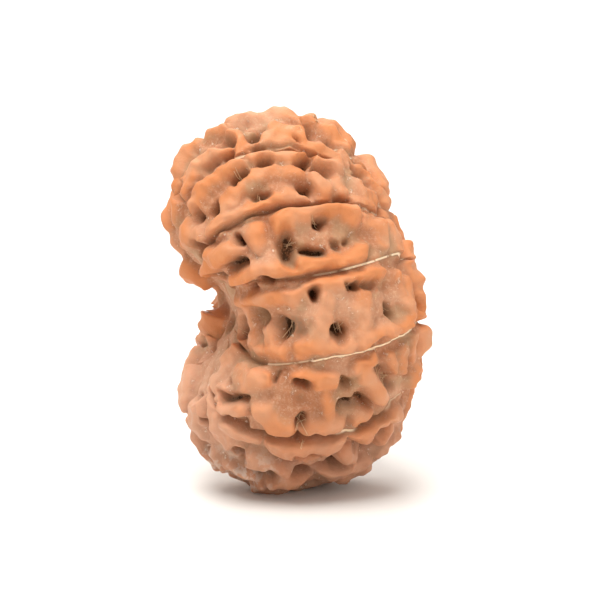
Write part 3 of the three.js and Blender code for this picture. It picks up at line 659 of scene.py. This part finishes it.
def make_fibres(material):
    """Dried threads of pulp in some pits: bent lines from rim to rim that sag into the pit."""
    source = make_chance(FIBRE_SEED)
    rows = []
    for u, v, spread, count in FIBRES:
        grain = 2 * math.pi * next(source)
        rows += [[u, v, spread, grain] + [next(source) for _ in range(8)] for _ in range(count)]
    rows = np.array(rows)
    u, v, spread, grain = rows[:, :4].T
    chance = rows[:, 4:]
    per_u = spread / MUKHI_WIDTH
    per_v = spread / WAY_LENGTH
    shift = 0.9 * (chance[:, 0] - 0.5)
    u = u + per_u * shift * np.cos(grain)
    v = v - per_v * shift * np.sin(grain)
    turn = grain + 1.3 * (chance[:, 1] - 0.5)
    across = turn + math.pi + 1.2 * (chance[:, 2] - 0.5)
    begin = 0.5 + 0.5 * chance[:, 3]
    finish = 0.5 + 0.5 * chance[:, 4]
    start = bead_surface(u + begin * per_u * np.sin(turn), v + begin * per_v * np.cos(turn))[0]
    end = bead_surface(u + finish * per_u * np.sin(across), v + finish * per_v * np.cos(across))[0]
    deep = bead_surface(u, v)[0]
    bend = (start + end) * 0.5 * (1 - FIBRE_SAG) + deep * FIBRE_SAG
    t = np.linspace(0, 1, FIBRE_STEPS)[None, :, None]
    path = start[:, None] * (1 - t) ** 2 + bend[:, None] * 2 * t * (1 - t) + end[:, None] * t ** 2
    wobble = np.stack([waves(path + 3 * chance[:, None, 5:6], 5, 0.6, seed) for seed in (11, 12, 13)], -1)
    path = path + FIBRE_WOBBLE * wobble * np.sin(math.pi * t)
    radius = FIBRE_RADIUS * (0.5 + 0.8 * chance[:, 6])
    points, faces = thread_tubes(path, radius)
    return mesh_object("pulp_fibres", points, faces, {}, material)


def make_bead(material):
    """Over the outside from pole to pole, then back through the stringing hole."""
    columns = []
    for k in range(MUKHI):
        count = NEAR_COLUMNS if k < NEAR_MUKHI else FAR_COLUMNS
        t = np.arange(count) / count
        columns.append(k + t - GATHER * np.sin(2 * math.pi * t))
    columns = np.concatenate(columns)
    rows = np.linspace(-1, 1, ROWS + 1)
    u, v = np.meshgrid(columns, rows, indexing="ij")
    points, values = bead_surface(u, v)
    t = (np.arange(1, HOLE_ROWS) / HOLE_ROWS)[:, None]
    tube = points[:, -1, None] * (1 - t) + points[:, 0, None] * t
    points = np.concatenate([points, tube], 1)
    in_hole = {"crest": 0, "hollow": 1, "seam": 0, "apart": 1, "suture": 0}
    for key in values:
        inside = np.full((len(columns), HOLE_ROWS - 1), in_hole[key], float)
        values[key] = np.concatenate([values[key], inside], 1)
    faces = grid_faces(len(columns), ROWS + HOLE_ROWS)
    return mesh_object("bead_stone", points, faces.tolist(), values, material)


class Nodes:
    """Short calls that add a node, link it and hand back its output."""

    def __init__(self, tree):
        self.tree = tree

    def add(self, kind, settings=None, inputs=None, out=0):
        node = self.tree.nodes.new(kind)
        for key, value in (settings or {}).items():
            setattr(node, key, value)
        for key, value in (inputs or {}).items():
            socket = node.inputs[key]
            if isinstance(value, bpy.types.NodeSocket):
                self.tree.links.new(value, socket)
            else:
                socket.default_value = value
        return node.outputs[out]

    def link(self, value, socket):
        self.tree.links.new(value, socket)

    def attribute(self, name):
        return self.add("ShaderNodeAttribute", {"attribute_name": name}, out="Fac")

    def math(self, operation, a, b):
        return self.add("ShaderNodeMath", {"operation": operation}, {0: a, 1: b})

    def times(self, a, b):
        return self.math("MULTIPLY", a, b)

    def span(self, value, low, high, to_low=0.0, to_high=1.0):
        """A soft step: to_low at low, to_high at high."""
        settings = {"interpolation_type": "SMOOTHSTEP"}
        inputs = {"Value": value, "From Min": low, "From Max": high, "To Min": to_low, "To Max": to_high}
        return self.add("ShaderNodeMapRange", settings, inputs)

    def mix(self, share, a, b):
        """Colour a where the share is 0, colour b where it is 1."""
        return self.add("ShaderNodeMix", {"data_type": "RGBA"}, {0: share, 6: a, 7: b}, out=2)

    def noise(self, place, scale, detail=2.0, roughness=0.5):
        inputs = {"Vector": place, "Scale": scale, "Detail": detail, "Roughness": roughness}
        return self.add("ShaderNodeTexNoise", {}, inputs, out="Fac")

    def bump(self, strength, depth, height, below=None):
        """Tilts the shading by a height field. The depth is in millimetres."""
        inputs = {"Strength": strength, "Distance": depth * MM, "Height": height}
        if below is not None:
            inputs["Normal"] = below
        return self.add("ShaderNodeBump", {}, inputs, out="Normal")


def new_material(name):
    """A material, its node helper and its shader."""
    material = bpy.data.materials.new(name)
    material.use_nodes = True
    tree = material.node_tree
    shader = tree.nodes["Principled BSDF"]
    return material, Nodes(tree), shader


def colour_with_painted_light(n, place, crest_share, low, fine):
    """Terracotta crests on pink-brown, partly painted highlight and shade, with dust, a khaki film,
    painted bounce light on the lower left, painted shade towards the bottom and a frosted foot.
    """
    # Crests lighter and more orange than the floors: partly the bead's own tone, partly painted highlight
    # on the crests and painted shade on the low floors.
    colour = n.mix(crest_share, FLOOR_TONE_AND_SHADE, CREST_TONE_AND_HIGHLIGHT)
    broad = n.span(n.noise(place, 0.28, 3.0), 0.42, 0.68)
    colour = n.mix(n.times(broad, 0.5), colour, PALE)
    colour = n.mix(n.times(n.span(fine, 0.46, 0.70), n.times(low, 0.40)), colour, DUST)
    film = n.span(n.noise(place, 0.36, 3.0), 0.50, 0.64)
    colour = n.mix(n.times(film, n.times(low, 0.50)), colour, KHAKI)
    left_right = n.add("ShaderNodeSeparateXYZ", {}, {"Vector": place}, out="X")
    up_down = n.add("ShaderNodeSeparateXYZ", {}, {"Vector": place}, out="Z")
    # Painted bounce light: a pale pink tint on the lower left side.
    bounce_side = n.times(n.span(left_right, -4.5, -8.5), n.span(up_down, 14.5, 9.5))
    colour = n.mix(n.times(bounce_side, 0.65), colour, PAINTED_BOUNCE_PINK)
    # Painted shade: darker and duller towards the bottom, away from the overhead light.
    colour = n.mix(n.span(up_down, 8.0, 2.5, 0.0, 0.60), colour, PAINTED_LOW_SHADE)
    foot = n.times(n.span(left_right, -1.0, -5.0), n.span(up_down, 5.5, 1.5))
    frost = n.times(n.span(n.noise(place, 1.2, 4.0, 0.65), 0.48, 0.60), foot)
    return n.mix(n.times(frost, 0.55), colour, FROST)


def pit_colour(n, place, colour, ragged_depth):
    """Rims darkened with hollow depth, part real stain and part painted shade, grey in places, and near
    black pit floors, painted shade over dark debris.
    """
    # Painted shade deepening into the hollows, partly real brown stain.
    rim = n.span(ragged_depth, 0.15, 0.80)
    colour = n.mix(n.times(rim, 0.62), colour, STAIN_AND_SHADE)
    grey_place = n.span(n.noise(place, 0.45, 2.0), 0.50, 0.66)
    colour = n.mix(n.times(n.times(rim, grey_place), 0.5), colour, GREY)
    # Painted shade: near black pit floors, over real dark debris.
    return n.mix(n.span(ragged_depth, 0.68, 0.94), colour, PIT_DEBRIS_AND_SHADE)


def cord_share(n, place):
    """Where a pale cord of tissue still lies along the middle of a seam."""
    line = n.span(n.attribute("apart"), 0.03, 0.11, 1.0, 0.0)
    broken = n.span(n.noise(place, 0.9, 3.0, 0.6), 0.34, 0.46)
    return n.times(n.times(line, n.attribute("suture")), broken)


def stone_material():
    """Waxy terracotta on the crests, dusty pink-brown between them, near black in the pits, with painted
    shade along the seams; the lighter crests and the darker floors and pits are partly painted highlight
    and shade.
    """
    material, n, shader = new_material("stone")
    place = n.add("ShaderNodeTexCoord", out="Object")
    place = n.add("ShaderNodeVectorMath", {"operation": "SCALE"}, {"Vector": place, "Scale": 1 / MM})
    middle = n.noise(place, 1.1, 4.0, 0.6)
    fine = n.noise(place, 4.5, 4.0, 0.7)
    height = n.math("ADD", n.attribute("crest"), n.times(n.math("SUBTRACT", middle, 0.5), 0.6))
    crest_share = n.span(height, 0.12, 0.75)
    low = n.math("SUBTRACT", 1.0, crest_share)
    ragged_depth = n.math("ADD", n.attribute("hollow"), n.times(n.math("SUBTRACT", fine, 0.5), 0.9))
    colour = colour_with_painted_light(n, place, crest_share, low, fine)
    colour = pit_colour(n, place, colour, ragged_depth)
    # Painted shade along the seam grooves.
    colour = n.mix(n.times(n.attribute("seam"), 0.45), colour, STAIN_AND_SHADE)
    specks = n.span(n.noise(place, 8.0, 3.0, 0.6), 0.64, 0.72)
    colour = n.mix(n.times(specks, n.times(low, 0.45)), colour, DUST)
    chips = n.span(n.noise(place, 1.9, 6.0, 0.72), 0.615, 0.645)
    chips = n.times(chips, n.times(low, n.span(ragged_depth, 0.75, 0.45, 0.0, 0.75)))
    colour = n.mix(chips, colour, CHIP)
    cord = cord_share(n, place)
    n.link(n.mix(cord, colour, CORD), shader.inputs["Base Color"])
    n.link(n.span(crest_share, 0.0, 1.0, 0.72, 0.50), shader.inputs["Roughness"])
    shader.inputs["Specular IOR Level"].default_value = 0.32
    shader.inputs["Specular Tint"].default_value = (1.0, 0.86, 0.72, 1)
    shader.inputs["Subsurface Weight"].default_value = 0.15
    shader.inputs["Subsurface Radius"].default_value = (1.0, 0.42, 0.22)
    shader.inputs["Subsurface Scale"].default_value = 0.5 * MM
    grain = n.bump(0.7, 0.06, n.noise(place, 7.0, 4.0, 0.65))
    uneven = n.bump(0.7, 0.14, middle, grain)
    crusts = n.bump(0.8, 0.08, n.math("ADD", cord, chips), uneven)
    n.link(crusts, shader.inputs["Normal"])
    return material


def fibre_material():
    """Dry straw-coloured threads."""
    material, _, shader = new_material("dried_pulp")
    shader.inputs["Base Color"].default_value = (0.66, 0.43, 0.25, 1)
    shader.inputs["Roughness"].default_value = 0.8
    return material


def surface_material():
    """The plain pale table top."""
    material, _, shader = new_material("pale_surface")
    shader.inputs["Base Color"].default_value = (0.80, 0.785, 0.76, 1)
    shader.inputs["Roughness"].default_value = 0.75
    return material


def make_floor():
    """A wide flat sheet that curves up far behind."""
    across = np.linspace(-FLOOR_HALF, FLOOR_HALF, 3)
    x, t = np.meshgrid(across, np.linspace(0, 1, FLOOR_STEPS), indexing="ij")
    run = t * FLOOR_RUN + FLOOR_FRONT
    rise = RISE_HEIGHT * smooth((run - RISE_FROM) / RISE_RUN)
    points = np.stack([x, run, rise], -1)
    i, j = np.meshgrid(np.arange(2), np.arange(FLOOR_STEPS - 1), indexing="ij")
    near = i * FLOOR_STEPS + j
    far = near + FLOOR_STEPS
    faces = np.stack([near, far, far + 1, near + 1], -1).reshape(-1, 4)
    floor = mesh_object("table_top", points, faces.tolist(), {}, surface_material())


def make_light(name, position, aim, size, power, tint):
    """A soft round lamp. Places and sizes are in metres."""
    data = bpy.data.lights.new(name, "AREA")
    data.shape = "DISK"
    data.size = size
    data.energy = power
    data.color = tint
    lamp = bpy.data.objects.new(name, data)
    lamp.location = position
    lamp.rotation_euler = (Vector(aim) - Vector(position)).to_track_quat("-Z", "Y").to_euler()
    bpy.context.scene.collection.objects.link(lamp)


def make_lights():
    """A window up on the left, a weak fill from the right, light on the far floor, and the room."""
    aim = (0, 0, 0.014)
    make_light("window", (-0.08, -0.11, 0.36), aim, 0.26, 1.57, (1.0, 0.985, 0.96))
    make_light("front_fill", (0.22, -0.30, 0.12), aim, 0.30, 0.26, (1.0, 0.98, 0.95))
    make_light("far_floor", (0.05, 0.50, 0.55), (0.05, 0.46, 0), 0.50, 3.4, (1.0, 0.99, 0.965))
    world = bpy.data.worlds.new("room")
    bpy.context.scene.world = world
    world.use_nodes = True
    sky = world.node_tree.nodes["Background"]
    sky.inputs["Color"].default_value = (1.0, 0.985, 0.955, 1)
    sky.inputs["Strength"].default_value = 0.60


def make_camera():
    """Placed so that the middle of the bead falls on the same pixel as in the photograph."""
    a = CAMERA_AZIMUTH
    e = CAMERA_ELEVATION
    back = Vector((math.sin(a) * math.cos(e), -math.cos(a) * math.cos(e), math.sin(e)))
    right = Vector((math.cos(a), math.sin(a), 0))
    up = back.cross(right)
    per_pixel = CAMERA_DISTANCE / FOCAL_PIXELS
    middle = Vector((-CENTRE_X, -CENTRE_Y, -REST_Z))
    place = middle + back * CAMERA_DISTANCE
    place += right * (PHOTO_SIDE / 2 - PHOTO_MIDDLE_X) * per_pixel
    place += up * (PHOTO_MIDDLE_Y - PHOTO_SIDE / 2) * per_pixel
    data = bpy.data.cameras.new("camera")
    data.sensor_width = 36
    data.lens = 36 * FOCAL_PIXELS / PHOTO_SIDE
    data.clip_start = 0.005
    data.clip_end = 10
    camera = bpy.data.objects.new("camera", data)
    camera.location = place * MM
    camera.rotation_euler = back.to_track_quat("Z", "Y").to_euler()
    bpy.context.scene.collection.objects.link(camera)
    bpy.context.scene.camera = camera


def main():
    """The view and the light first, then the bead and its fibres in place of the solid."""
    make_camera()
    make_lights()
    make_floor()
    bpy.context.scene.view_settings.view_transform = "Standard"
    bead = make_bead(stone_material())
    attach(bead, "root")
    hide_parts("bead")
    fibres = make_fibres(fibre_material())
    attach(fibres, "root")
    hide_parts("bead")


main()
